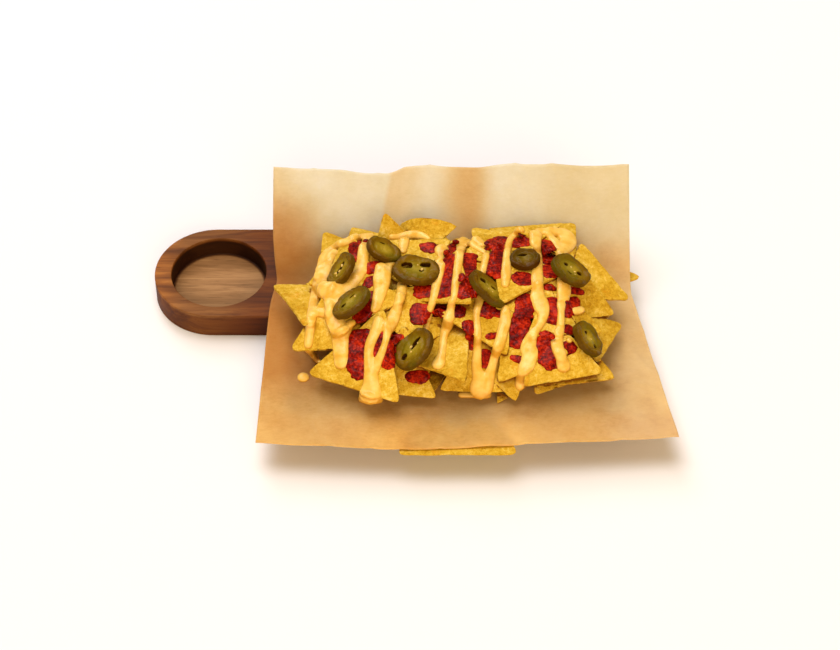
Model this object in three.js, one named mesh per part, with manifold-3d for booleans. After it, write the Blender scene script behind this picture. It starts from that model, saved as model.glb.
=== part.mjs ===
// Nachos: a heap of tortilla chips with pickled pepper rings on a kraft paper sheet, which lies on
// a wooden serving board with a round dip recess in its handle end.
// Millimetres, +Z up, +X along the board away from the recess, +Y towards the raised back of the
// paper. The origin is on the board's underside, below the middle of the heap.

import * as THREE from "three";
import { mergeVertices } from "three/addons/utils/BufferGeometryUtils.js";
import Module from "manifold-3d";

const wasm = await Module();
wasm.setup();

// Board
const BOARD_THICK = 20;
const BODY_HALF_LENGTH = 118;
const BODY_FRONT = -98;
const BODY_BACK = 86;
const BODY_CORNER = 14;
const HANDLE_HALF_WIDTH = 43.5;
const HANDLE_Y = BODY_BACK - HANDLE_HALF_WIDTH;
const HANDLE_END_X = -170.3;
const INNER_CORNER = 10;
const BOARD_EDGE = 1.2;
const RECESS_X = -168;
const RECESS_RADIUS = 34;
const RECESS_DEPTH = 15.5;
const RECESS_FILLET = 3;

// Paper sheet: four corners, the line where it bends up and the slope behind that line
const GAP = 0.35;
const SHEET_THICK = 0.8;
const SHEET_LEFT = [-134, -129, -128];
const SHEET_RIGHT = [149.5, 125.5, 124.5];
const SHEET_FRONT = -126;
const SHEET_BACK = [87, 90];
const BEND_Y = [32, 18];
const BEND_RADIUS = [12, 24];
const BEND_SHARE = 0.66;
const BACK_SLOPE = [0.98, 0.93];
const SHOULDER = 9;
const MIDDLE_RISE = 9;
const SAG_DEPTH = [3.5, 1.8];
const RIM_LIFT = 2.9;

// Heap
const HEAP_HALF_LENGTH = 132;
const HEAP_HALF_DEPTH = 86;
const HEAP_Y = -8;
const HEAP_HEIGHT = 48;
const PAPER_TOP = BOARD_THICK + GAP + SHEET_THICK;
const CORE_DROP = 9;
const CORE_SHARE = 0.88;
const CORE_ROUND = 0.4;
const CHIP_SIDE = 58;
const CHIP_THICK = 2.4;
const CHIP_CORNER = 3.5;

// Each chip: place of its middle, compass heading of one corner, degrees that this corner and then
// the chip's left side tip up, and its size against CHIP_SIDE.
const CHIPS = [
  { name: "left tip", at: [-99, -12, 46.3], heading: 145, pitch: -8, roll: 16, size: 1.07 },
  { name: "left front", at: [-84, -42, 53.8], heading: -154, pitch: -17, roll: -18, size: 1.0 },
  { name: "front corner", at: [-62, -68, 46.5], heading: -177, pitch: -15, roll: -23, size: 1.22 },
  { name: "front", at: [-38, -73, 42.8], heading: 82, pitch: 36, roll: 6, size: 0.96 },
  { name: "front middle", at: [-7, -66, 52.2], heading: -64, pitch: 4, roll: 16, size: 0.95 },
  { name: "front low", at: [16, -70, 42.1], heading: 89, pitch: 35, roll: 2, size: 0.95 },
  { name: "front right", at: [47, -62, 53.6], heading: -131, pitch: -21, roll: -15, size: 0.94 },
  { name: "right corner", at: [69, -66, 48.7], heading: -15, pitch: -11, roll: 19, size: 1.0 },
  { name: "right corner low", at: [79, -63, 43.3], heading: -17, pitch: -16, roll: 26, size: 1.0 },
  { name: "front right low", at: [73, -63, 41.6], heading: -131, pitch: -16, roll: -25, size: 0.97 },
  { name: "front gap low", at: [32, -64, 45.9], heading: -70, pitch: -35, roll: 10, size: 0.97 },
  { name: "right tip", at: [95, 1, 55.4], heading: -14, pitch: -26, roll: 1, size: 0.94 },
  { name: "right under", at: [85, -17, 57.0], heading: -5, pitch: -32, roll: 18, size: 0.93 },
  { name: "right lower", at: [95, -39, 47.5], heading: 39, pitch: -27, roll: 25, size: 0.93 },
  { name: "back standing", at: [-42, 31, 54.1], heading: 111, pitch: 45, roll: 7, size: 0.84 },
  { name: "back left", at: [-22, 37, 55], heading: -106, pitch: -14, roll: 22, size: 0.84 },
  { name: "left back", at: [-78, 28, 53.6], heading: 119, pitch: -10, roll: 1, size: 0.93 },
  { name: "left back low", at: [-60, 35, 55.0], heading: 115, pitch: -18, roll: 0, size: 0.93 },
  { name: "left upper", at: [-76, 10, 60.7], heading: -157, pitch: -18, roll: 8, size: 0.92 },
  { name: "back middle", at: [29, 28, 61.9], heading: 124, pitch: -15, roll: 9, size: 0.92 },
  { name: "back right", at: [51, 45, 53.8], heading: -91, pitch: 21, roll: 5, size: 0.96 },
  { name: "back right corner", at: [71, 36, 60.1], heading: 58, pitch: -18, roll: 7, size: 0.92 },
  { name: "top left", at: [-65, -25, 61.9], heading: -8, pitch: 9, roll: 8, size: 0.99 },
  { name: "top middle", at: [-8, -18, 70.2], heading: 71, pitch: 8, roll: -19, size: 0.96 },
  { name: "top right", at: [44, -6, 67.7], heading: 6, pitch: -5, roll: 0, size: 1.0 },
  { name: "right middle", at: [50, -24, 63.5], heading: 79, pitch: 4, roll: 8, size: 1.0 },
  { name: "front under", at: [-20, -58, 27.8], heading: -86, pitch: 8, roll: -1, size: 0.92 },
  { name: "filler left", at: [-30, 14, 65.3], heading: 30, pitch: -1, roll: -7, size: 1.0 },
  { name: "filler middle", at: [24, 10, 65.6], heading: -20, pitch: 3, roll: -10, size: 1.0 },
  { name: "filler right", at: [66, 10, 61.2], heading: 10, pitch: -12, roll: -5, size: 0.97 },
  { name: "filler left back", at: [-66, 8, 62.1], heading: 70, pitch: -3, roll: -13, size: 0.97 },
  { name: "filler front", at: [20, -42, 61.7], heading: -60, pitch: -18, roll: 3, size: 0.97 },
  { name: "filler left front", at: [-34, -34, 62.7], heading: -80, pitch: -14, roll: 5, size: 0.97 },
  { name: "filler right front", at: [72, -36, 58.1], heading: 100, pitch: 13, roll: 9, size: 0.97 },
];

// Pepper rings, sliced a little aslant: place of the middle, heading of the long axis, degrees that
// this axis and then its left side tip up, half length, and length against width
const RING_THICK = 4.6;
const RINGS = [
  { at: [-77.9, -3.6, 69.6], heading: 52, pitch: 36, roll: -27, radius: 12.8, stretch: 1.25 },
  { at: [-49.1, 14.9, 69.8], heading: -23, pitch: -21, roll: -9, radius: 12.9, stretch: 1.25 },
  { at: [-26.6, -6.1, 71.4], heading: -3, pitch: -4, roll: -7, radius: 16.4, stretch: 1.1 },
  { at: [-70.4, -33.4, 68.1], heading: 31, pitch: 25, roll: -21, radius: 15.0, stretch: 1.25 },
  { at: [-28.0, -66.3, 57.0], heading: 43, pitch: 32, roll: -17, radius: 16.2, stretch: 1.2 },
  { at: [22.4, -25.6, 72.9], heading: -35, pitch: -28, roll: -26, radius: 16.1, stretch: 1.35 },
  { at: [48.2, 4.5, 71.5], heading: 0, pitch: 2, roll: -6, radius: 10.7, stretch: 1.1 },
  { at: [79.2, -7.0, 72.4], heading: -28, pitch: -23, roll: -13, radius: 15.0, stretch: 1.2 },
  { at: [89.8, -54.9, 55.0], heading: -49, pitch: -34, roll: -26, radius: 13.6, stretch: 1.25 },
];

const walnut = new THREE.MeshStandardMaterial({ color: 0x6e432c, roughness: 0.55 });
const kraft = new THREE.MeshStandardMaterial({ color: 0xe2b981, roughness: 0.85 });
const corn = new THREE.MeshStandardMaterial({ color: 0xebbf4c, roughness: 0.7 });
const pickle = new THREE.MeshStandardMaterial({ color: 0x6b6f22, roughness: 0.35 });

// Solid modelling helpers

function toSolid(geometry) {
  const bare = geometry.clone();
  bare.deleteAttribute("normal");
  bare.deleteAttribute("uv");
  const welded = mergeVertices(bare, 1e-4);
  return new wasm.Manifold(new wasm.Mesh({
    numProp: 3,
    vertProperties: new Float32Array(welded.attributes.position.array),
    triVerts: new Uint32Array(welded.index.array),
  }));
}

function toGeometry(solid) {
  const mesh = solid.getMesh();
  const geometry = new THREE.BufferGeometry();
  geometry.setAttribute("position", new THREE.BufferAttribute(mesh.vertProperties, 3));
  geometry.setIndex(new THREE.BufferAttribute(mesh.triVerts, 1));
  geometry.computeVertexNormals();
  return geometry;
}

function largestPiece(solid) {
  const pieces = solid.decompose();
  return pieces.reduce((best, piece) => (piece.volume() > best.volume() ? piece : best));
}

// A unit block cut into nx by ny cells and bent into shape: place(u, v, w) gives each point
function bentBlock(nx, ny, place) {
  const geometry = new THREE.BoxGeometry(1, 1, 1, nx, ny, 1);
  const position = geometry.attributes.position;
  for (let i = 0; i < position.count; i += 1) {
    const point = place(position.getX(i) + 0.5, position.getY(i) + 0.5, position.getZ(i) + 0.5);
    position.setXYZ(i, point.x, point.y, point.z);
  }
  return geometry;
}

function smooth(from, to, value) {
  return THREE.MathUtils.smoothstep(value, from, to);
}

const mix = THREE.MathUtils.lerp;

// Board

function boardOutline() {
  const shape = new THREE.Shape();
  const c = BODY_CORNER;
  const front = HANDLE_Y - HANDLE_HALF_WIDTH;
  shape.moveTo(-BODY_HALF_LENGTH + c, BODY_FRONT);
  shape.lineTo(BODY_HALF_LENGTH - c, BODY_FRONT);
  shape.absarc(BODY_HALF_LENGTH - c, BODY_FRONT + c, c, -Math.PI / 2, 0);
  shape.lineTo(BODY_HALF_LENGTH, BODY_BACK - c);
  shape.absarc(BODY_HALF_LENGTH - c, BODY_BACK - c, c, 0, Math.PI / 2);
  shape.lineTo(HANDLE_END_X, BODY_BACK);
  shape.absarc(HANDLE_END_X, HANDLE_Y, HANDLE_HALF_WIDTH, Math.PI / 2, Math.PI * 1.5);
  shape.lineTo(-BODY_HALF_LENGTH - INNER_CORNER, front);
  shape.absarc(-BODY_HALF_LENGTH - INNER_CORNER, front - INNER_CORNER, INNER_CORNER, Math.PI / 2, 0, true);
  shape.lineTo(-BODY_HALF_LENGTH, BODY_FRONT + c);
  shape.absarc(-BODY_HALF_LENGTH + c, BODY_FRONT + c, c, Math.PI, Math.PI * 1.5);
  return shape;
}

function boardGeometry() {
  const plank = new THREE.ExtrudeGeometry(boardOutline(), {
    depth: BOARD_THICK - 2 * BOARD_EDGE,
    bevelEnabled: true,
    bevelThickness: BOARD_EDGE,
    bevelSize: BOARD_EDGE,
    bevelOffset: -BOARD_EDGE,
    bevelSegments: 1,
    curveSegments: 8,
  });
  plank.translate(0, 0, BOARD_EDGE);
  const floor = BOARD_THICK - RECESS_DEPTH;
  const profile = [
    new THREE.Vector2(0, floor),
    new THREE.Vector2(RECESS_RADIUS - RECESS_FILLET, floor),
    new THREE.Vector2(RECESS_RADIUS - 0.3 * RECESS_FILLET, floor + 0.3 * RECESS_FILLET),
    new THREE.Vector2(RECESS_RADIUS, floor + RECESS_FILLET),
    new THREE.Vector2(RECESS_RADIUS, BOARD_THICK + 1),
    new THREE.Vector2(0, BOARD_THICK + 1),
  ];
  const cutter = new THREE.LatheGeometry(profile, 32);
  cutter.rotateX(Math.PI / 2);
  cutter.translate(RECESS_X, HANDLE_Y, 0);
  return toGeometry(toSolid(plank).subtract(toSolid(cutter)));
}

// Paper: a level sheet whose back rises behind the heap, with soft waves. Its underside's height is
// a function of the place, and the outline comes from the left, right, front and back edges.

function sheetHeight(x, y) {
  const across = THREE.MathUtils.clamp(0.5 + x / 254, 0, 1);
  const past = Math.max(0, y - mix(BEND_Y[0], BEND_Y[1], across));
  const radius = mix(BEND_RADIUS[0], BEND_RADIUS[1], across);
  const slope = mix(BACK_SLOPE[0], BACK_SLOPE[1], across);
  const ramp = past < radius ? (slope * past * past) / (2 * radius) : slope * (past - radius / 2);
  const shoulder = SHOULDER * (1 - smooth(-120, -50, x)) * smooth(3, 22, past);
  const rim = Math.max(smooth(50, 88, x), smooth(35, 66, -y), smooth(95, 125, -x));
  const middle = MIDDLE_RISE * smooth(-118, -75, x) * (1 - smooth(30, 118, x)) * smooth(5, 60, past);
  return BOARD_THICK + GAP + RIM_LIFT * rim + ramp + shoulder + middle - sag(x) * Math.min(1, past / 60);
}

function sag(x) {
  const left = (x + 48) / (x < -48 ? 42 : 13);
  const right = (x - 15) / 18;
  return SAG_DEPTH[0] * Math.exp(-left * left) + SAG_DEPTH[1] * Math.exp(-right * right);
}

function sheetFront(x) {
  return SHEET_FRONT + 0.063 * (Math.hypot(x + 31, 20) - 20);
}

function sheetPoint(across, along) {
  const half = along < BEND_SHARE ? 0 : 1;
  const part = half ? (along - BEND_SHARE) / (1 - BEND_SHARE) : along / BEND_SHARE;
  const left = mix(SHEET_LEFT[half], SHEET_LEFT[half + 1], part);
  const right = mix(SHEET_RIGHT[half], SHEET_RIGHT[half + 1], part);
  const x = mix(left, right, across);
  const bend = mix(BEND_Y[0], BEND_Y[1], across);
  const back = mix(SHEET_BACK[0], SHEET_BACK[1], across) - 0.5 * sag(x);
  const y = half ? mix(bend, back, part) : mix(sheetFront(x), bend, part);
  return new THREE.Vector3(x, y, sheetHeight(x, y));
}

function sheetNormal(across, along) {
  const { x, y } = sheetPoint(across, along);
  const slopeX = (sheetHeight(x + 1, y) - sheetHeight(x - 1, y)) / 2;
  const slopeY = (sheetHeight(x, y + 1) - sheetHeight(x, y - 1)) / 2;
  return new THREE.Vector3(-slopeX, -slopeY, 1).normalize();
}

function sheetGeometry() {
  return bentBlock(14, 11, (u, v, w) => (
    sheetPoint(u, v).addScaledVector(sheetNormal(u, v), w * SHEET_THICK)
  ));
}

// All the space that the paper and the board take, which the heap stays out of
function belowSheet() {
  const grown = bentBlock(14, 11, (u, v, w) => {
    const point = sheetPoint(u, v).addScaledVector(sheetNormal(u, v), SHEET_THICK + GAP);
    return w > 0.5 ? point : point.setZ(-60).setY(point.y + 60);
  });
  return toSolid(grown);
}

// Heap surface: a low dome, fuller than an ellipsoid

function heapTop(x, y) {
  const along = Math.max(0, 1 - Math.abs(x / HEAP_HALF_LENGTH) ** 3) ** 0.7;
  const deep = Math.max(0, 1 - Math.abs((y - HEAP_Y) / HEAP_HALF_DEPTH) ** 2.4) ** 0.75;
  return PAPER_TOP + HEAP_HEIGHT * along * deep;
}

function heapCore() {
  const block = bentBlock(11, 9, (u, v, w) => {
    const across = 2 * u - 1;
    const deep = 2 * v - 1;
    const x = CORE_SHARE * HEAP_HALF_LENGTH * across * Math.sqrt(1 - CORE_ROUND * deep * deep);
    const y = HEAP_Y + CORE_SHARE * HEAP_HALF_DEPTH * deep * Math.sqrt(1 - CORE_ROUND * across * across);
    const top = Math.max(heapTop(x, y) - CORE_DROP, PAPER_TOP + 2);
    return new THREE.Vector3(x, y, w > 0.5 ? top : BOARD_THICK - 4);
  });
  return toSolid(block);
}

// Chips

function chipSolid(side) {
  const reach = side / Math.sqrt(3);
  const shape = new THREE.Shape();
  for (let k = 0; k < 3; k += 1) {
    const turn = (2 * Math.PI * k) / 3;
    const inset = reach - 2 * CHIP_CORNER;
    const centre = [inset * Math.cos(turn), inset * Math.sin(turn)];
    shape.absarc(centre[0], centre[1], CHIP_CORNER, turn - Math.PI / 3, turn + Math.PI / 3);
  }
  return new THREE.ExtrudeGeometry(shape, { depth: CHIP_THICK, bevelEnabled: false, curveSegments: 2 })
    .translate(0, 0, -CHIP_THICK / 2);
}

function placeOf({ at, heading, pitch, roll }) {
  const [turn, tip, lean] = [heading, -pitch, roll].map(THREE.MathUtils.degToRad);
  return new THREE.Matrix4().makeRotationZ(turn)
    .multiply(new THREE.Matrix4().makeRotationY(tip))
    .multiply(new THREE.Matrix4().makeRotationX(lean))
    .setPosition(...at);
}

function placedChip(chip) {
  return toSolid(chipSolid(CHIP_SIDE * chip.size).applyMatrix4(placeOf(chip)));
}

// Pepper rings: a disc with a rounded rim and seed chambers, grown by spare for its seat in the heap

function ringSolid(radius, spare) {
  const half = RING_THICK / 2 + spare;
  const r = radius + spare;
  const profile = [
    new THREE.Vector2(0, -half),
    new THREE.Vector2(r - 1.6, -half),
    new THREE.Vector2(r - 0.4, -half + 0.9),
    new THREE.Vector2(r, 0),
    new THREE.Vector2(r - 0.4, half - 0.9),
    new THREE.Vector2(r - 1.6, half),
    new THREE.Vector2(0, half),
  ];
  const disc = toSolid(new THREE.LatheGeometry(profile, 13).rotateX(Math.PI / 2));
  if (spare > 0) {
    return disc;
  }
  return [0, 1].reduce((ring, k) => {
    const chamber = new THREE.CylinderGeometry(1, 1, 4 * half, 8).rotateX(Math.PI / 2);
    chamber.scale(0.2 * radius, 0.34 * radius, 1);
    chamber.translate((k - 0.5) * 0.86 * radius, 0, 0);
    return ring.subtract(toSolid(chamber));
  }, disc);
}

function placedRing(ring, spare) {
  return ringSolid(ring.radius, spare).scale([1, 1 / ring.stretch, 1]).transform(placeOf(ring).elements);
}

// Chips that slipped under the paper and lie on the board
const STRAY_Z = BOARD_THICK + GAP + CHIP_THICK / 2 - 0.3;

function strayChip(x, y, heading, side, z) {
  return chipSolid(side).scale(1, 1, 0.75).rotateZ(THREE.MathUtils.degToRad(heading)).translate(x, y, z);
}

// Assembly

function addPart(group, name, geometry, material) {
  const mesh = new THREE.Mesh(geometry, material);
  mesh.name = name;
  group.add(mesh);
}

const nachos = new THREE.Group();
addPart(nachos, "board", boardGeometry(), walnut);
addPart(nachos, "paper", sheetGeometry(), kraft);

const seats = RINGS.map((ring) => placedRing(ring, GAP));
const heaped = CHIPS.reduce((solid, chip) => solid.add(placedChip(chip)), heapCore());
const cut = seats.reduce((solid, seat) => solid.subtract(seat), heaped.subtract(belowSheet()));
addPart(nachos, "chip_heap", toGeometry(largestPiece(cut)), corn);

RINGS.forEach((ring, i) => {
  addPart(nachos, `pepper_ring_${i + 1}`, toGeometry(placedRing(ring, 0)), pickle);
});

addPart(nachos, "stray_chip_right", strayChip(101, 36, 0, 58, STRAY_Z), corn);
addPart(nachos, "stray_chip_front", strayChip(1, -105, 90, 84, STRAY_Z), corn);

export default nachos;
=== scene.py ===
"""Nachos on a serving board.

A heap of tortilla chips on brown paper, with salsa, cheese sauce and pickled pepper rings, on a
wooden board with a dip recess. Lengths are written in millimetres and turned into metres by MM.
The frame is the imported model's: +X along the board, +Y towards the raised back of the paper.
"""

import math
import random

import bpy
from mathutils import Matrix, Vector, noise
from mathutils.bvhtree import BVHTree


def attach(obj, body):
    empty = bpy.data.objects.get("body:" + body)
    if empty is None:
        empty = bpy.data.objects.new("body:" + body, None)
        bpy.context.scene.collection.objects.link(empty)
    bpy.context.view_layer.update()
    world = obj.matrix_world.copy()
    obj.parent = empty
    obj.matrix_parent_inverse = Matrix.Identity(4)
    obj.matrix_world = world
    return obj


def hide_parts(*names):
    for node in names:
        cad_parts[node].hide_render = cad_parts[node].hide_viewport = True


MM = 0.001
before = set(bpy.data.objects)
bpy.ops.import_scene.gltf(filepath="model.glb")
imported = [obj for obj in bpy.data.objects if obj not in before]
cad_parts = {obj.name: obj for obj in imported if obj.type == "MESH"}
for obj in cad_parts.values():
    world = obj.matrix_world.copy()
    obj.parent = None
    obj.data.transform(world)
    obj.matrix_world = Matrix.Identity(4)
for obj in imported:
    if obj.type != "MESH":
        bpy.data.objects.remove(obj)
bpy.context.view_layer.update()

# Board
BOARD_THICK = 20
BODY_HALF_LENGTH = 118
BODY_FRONT = -98
BODY_BACK = 86
BODY_CORNER = 14
INNER_CORNER = 10
HANDLE_HALF_WIDTH = 43.5
HANDLE_Y = BODY_BACK - HANDLE_HALF_WIDTH
HANDLE_END_X = -170.3
RECESS_X = -168
RECESS_RADIUS = 34
RECESS_FLOOR = 4.5

# Paper sheet
GAP = 0.35
SHEET_THICK = 0.35
CAD_SHEET_THICK = 0.8
SHEET_LEFT = (-134, -129, -128)
SHEET_RIGHT = (149.5, 125.5, 124.5)
SHEET_FRONT = -126
SHEET_BACK = (87, 90)
BEND_Y = (32, 18)
BEND_RADIUS = (12, 24)
BEND_SHARE = 0.66
BACK_SLOPE = (0.98, 0.93)
SHOULDER = 9
MIDDLE_RISE = 9
SAG_DEPTH = (3.5, 1.8)
RIM_LIFT = 2.9
EDGE_TUCK = 3.2

# Heap
HEAP_HALF_LENGTH = 132
HEAP_HALF_DEPTH = 86
HEAP_Y = -8
HEAP_HEIGHT = 48
HEAP_BASE = BOARD_THICK + GAP + CAD_SHEET_THICK
CHIP_SIDE = 58
CHIP_THICK = 1.9
NOOK_REACH = 16
CORE_SHARE = (0.7, 0.66)
CORE_DROP = 19
LOWER_CHIPS = 30
LOWER_REACH = (106, 62)
LOWER_Y = -12
LOWER_DROP = 11
GOLDEN_TURN = 2.39996

# Voxel sizes of the melted skins
SALSA_GRAIN = 0.6
CHEESE_GRAIN = 0.7
RING_GRAIN = 0.42

# Each chip: x, y and z of its middle, compass heading of one corner, degrees that this corner and
# then its left side tip up, size against CHIP_SIDE, and which of the curled blanks it is.
CHIPS = [
    (-99, -12, 46.3, 145, -8, 16, 1.07, 0),
    (-84, -42, 53.8, -154, -17, -18, 1.0, 1),
    (-62, -68, 46.5, -177, -15, -23, 1.22, 2),
    (-38, -73, 42.8, 82, 36, 6, 0.96, 3),
    (-7, -66, 52.2, -64, 4, 16, 0.95, 4),
    (16, -70, 42.1, 89, 35, 2, 0.95, 0),
    (47, -62, 53.6, -131, -21, -15, 0.94, 1),
    (69, -66, 48.7, -15, -11, 19, 1.0, 2),
    (79, -63, 43.3, -17, -16, 26, 1.0, 3),
    (73, -63, 41.6, -131, -16, -25, 0.97, 4),
    (32, -64, 45.9, -70, -35, 10, 0.97, 0),
    (95, 1, 55.4, -14, -26, 1, 0.94, 1),
    (85, -17, 57.0, -5, -32, 18, 0.93, 2),
    (95, -39, 47.5, 39, -27, 25, 0.93, 3),
    (-42, 31, 54.1, 111, 45, 7, 0.84, 4),
    (-22, 37, 55, -106, -14, 22, 0.84, 5),
    (-78, 28, 53.6, 119, -10, 1, 0.93, 1),
    (-60, 35, 55.0, 115, -18, 0, 0.93, 2),
    (-76, 10, 60.7, -157, -18, 8, 0.92, 3),
    (29, 28, 61.9, 124, -15, 9, 0.92, 4),
    (51, 45, 53.8, -91, 21, 5, 0.96, 0),
    (71, 36, 60.1, 58, -18, 7, 0.92, 1),
    (-65, -25, 61.9, -8, 9, 8, 0.99, 2),
    (-8, -18, 70.2, 71, 8, -19, 0.96, 3),
    (44, -6, 67.7, 6, -5, 0, 1.0, 4),
    (50, -24, 63.5, 79, 4, 8, 1.0, 0),
    (-20, -58, 27.8, -86, 8, -1, 0.92, 2),
    (-30, 14, 65.3, 30, -1, -7, 1.0, 1),
    (24, 10, 65.6, -20, 3, -10, 1.0, 2),
    (66, 10, 61.2, 10, -12, -5, 0.97, 3),
    (-66, 8, 62.1, 70, -3, -13, 0.97, 4),
    (20, -42, 61.7, -60, -18, 3, 0.97, 0),
    (-34, -34, 62.7, -80, -14, 5, 0.97, 1),
    (72, -36, 58.1, 100, 13, 9, 0.97, 2),
]

# The curled blanks: rise of the bow in mm, the bow's direction in degrees and the corner-to-corner twist
BLANKS = [(3.5, 10, 1.5), (-2.4, 50, 1.0), (2.6, 95, -2.0), (-3.2, 150, 1.5), (1.5, 70, 2.5), (16.0, 90, 0.0)]

# Salsa: points of each run, x, y, z and the width there
SALSA_RUNS = [
    [(-65, 34, 59, 4.8), (-68, 23, 64, 9.1), (-68, 18, 64, 8.1), (-66, 10, 64, 3.2)],
    [(-55, 7, 67, 6.4), (-56, 1, 67, 7.1), (-57, -6, 68, 5.5)],
    [(-61, -10, 67, 3.9), (-58, -13, 67, 7.5), (-55, -15, 67, 4.7)],
    [(-57, -21, 66, 3.9), (-57, -29, 65, 5.4), (-59, -33, 64, 6.0), (-62, -37, 62, 6.1), (-68, -44, 60, 3.9)],
    [(-65, -47, 56, 11.7), (-66, -56, 53, 13.2), (-67, -68, 48, 12.0), (-66, -73, 47, 10.1),
     (-62, -81, 44, 3.9)],
    [(-49, -52, 60, 4.7), (-53, -66, 53, 5.6), (-55, -72, 49, 3.1)],
    [(-42, -48, 52, 7.0), (-43, -52, 51, 6.8), (-44, -63, 56, 6.3), (-45, -71, 53, 6.2), (-47, -77, 49, 3.9)],
    [(-40, -52, 57, 5.4), (-41, -57, 54, 4.7)],
    [(-26, -73, 43, 10.1), (-25, -76, 40, 10.1), (-26, -80, 38, 7.0)],
    [(-16, 27, 66, 5.6), (-17, 22, 65, 10.4), (-19, 17, 65, 7.2)],
    [(-20, -16, 68, 7.9), (-22, -21, 67, 9.8), (-21, -27, 66, 7.0)],
    [(-22, -31, 65, 10.2), (-26, -47, 60, 6.2)],
    [(-1, 38, 52, 8.9), (-1, 27, 57, 5.6), (-3, 6, 72, 5.9), (-5, -10, 71, 8.6), (-8, -31, 70, 10.1)],
    [(-10, -28, 60, 6.7), (-10, -33, 60, 6.4), (-10, -41, 64, 5.2), (-10, -43, 65, 3.9)],
    [(10, 14, 68, 6.8), (8, -5, 70, 6.6), (8, -10, 70, 6.9), (8, -22, 76, 7.4), (8, -30, 76, 10.1),
     (8, -37, 76, 9.3)],
    [(2, -35, 67, 4.7), (2, -40, 66, 6.2), (2, -45, 65, 4.7)],
    [(8, -46, 64, 3.9), (10, -54, 62, 5.0), (11, -54, 56, 4.3), (11, -62, 51, 2.3)],
    [(19, -61, 51, 3.9), (20, -67, 48, 5.4), (21, -72, 44, 1.6)],
    [(23, -33, 68, 7.0), (21, -38, 65, 7.8), (18, -43, 64, 4.7)],
    [(29, -38, 65, 3.9), (27, -42, 64, 7.0)],
    [(24, -55, 60, 5.6), (25, -58, 59, 4.3)],
    [(37, 35, 62, 4.0), (34, 31, 63, 8.8), (30, 26, 65, 10.4), (27, 18, 70, 9.2), (26, 17, 70, 8.2),
     (25, 18, 68, 6.4)],
    [(33, 18, 69, 6.4), (32, 11, 70, 7.2), (29, 5, 70, 11.9), (28, 0, 70, 12.2), (28, -6, 71, 10.2),
     (31, -12, 70, 3.5)],
    [(47, 34, 66, 6.4), (47, 33, 64, 8.4), (47, 31, 64, 10.2), (46, 21, 67, 11.2)],
    [(48, -6, 70, 7.9), (47, -12, 70, 11.0), (46, -19, 70, 8.6)],
    [(48, -24, 68, 7.1), (48, -26, 66, 7.6), (47, -38, 64, 6.8), (46, -41, 62, 6.7), (45, -46, 61, 6.4),
     (43, -51, 59, 10.1), (42, -54, 57, 11.0), (42, -56, 56, 10.0), (42, -62, 53, 3.9)],
    [(43, -67, 51, 5.8), (42, -71, 49, 5.8)],
    [(65, 31, 64, 9.2), (65, 22, 64, 6.2), (65, 22, 60, 5.9), (65, 20, 59, 6.0), (65, 12, 61, 6.6),
     (65, -1, 67, 8.0), (67, -7, 67, 8.2), (69, -9, 66, 6.3)],
    [(65, -14, 66, 3.9), (65, -19, 65, 4.7)],
    [(66, -25, 65, 6.3), (67, -36, 62, 6.7), (66, -46, 60, 6.2)],
    [(64, -53, 59, 5.8), (60, -59, 56, 8.3), (62, -67, 52, 11.2), (64, -71, 51, 10.0), (66, -72, 49, 7.8),
     (67, -75, 47, 4.7)],
    [(83, -14, 62, 7.5), (83, -18, 60, 6.3)],
    [(85, -22, 57, 3.9), (81, -25, 60, 5.5), (77, -30, 62, 4.7), (77, -39, 58, 4.3)],
    [(77, -45, 58, 5.9), (76, -52, 57, 4.7)],
    [(74, -57, 54, 4.7), (76, -61, 53, 8.6), (78, -65, 51, 6.6)],
]

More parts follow.
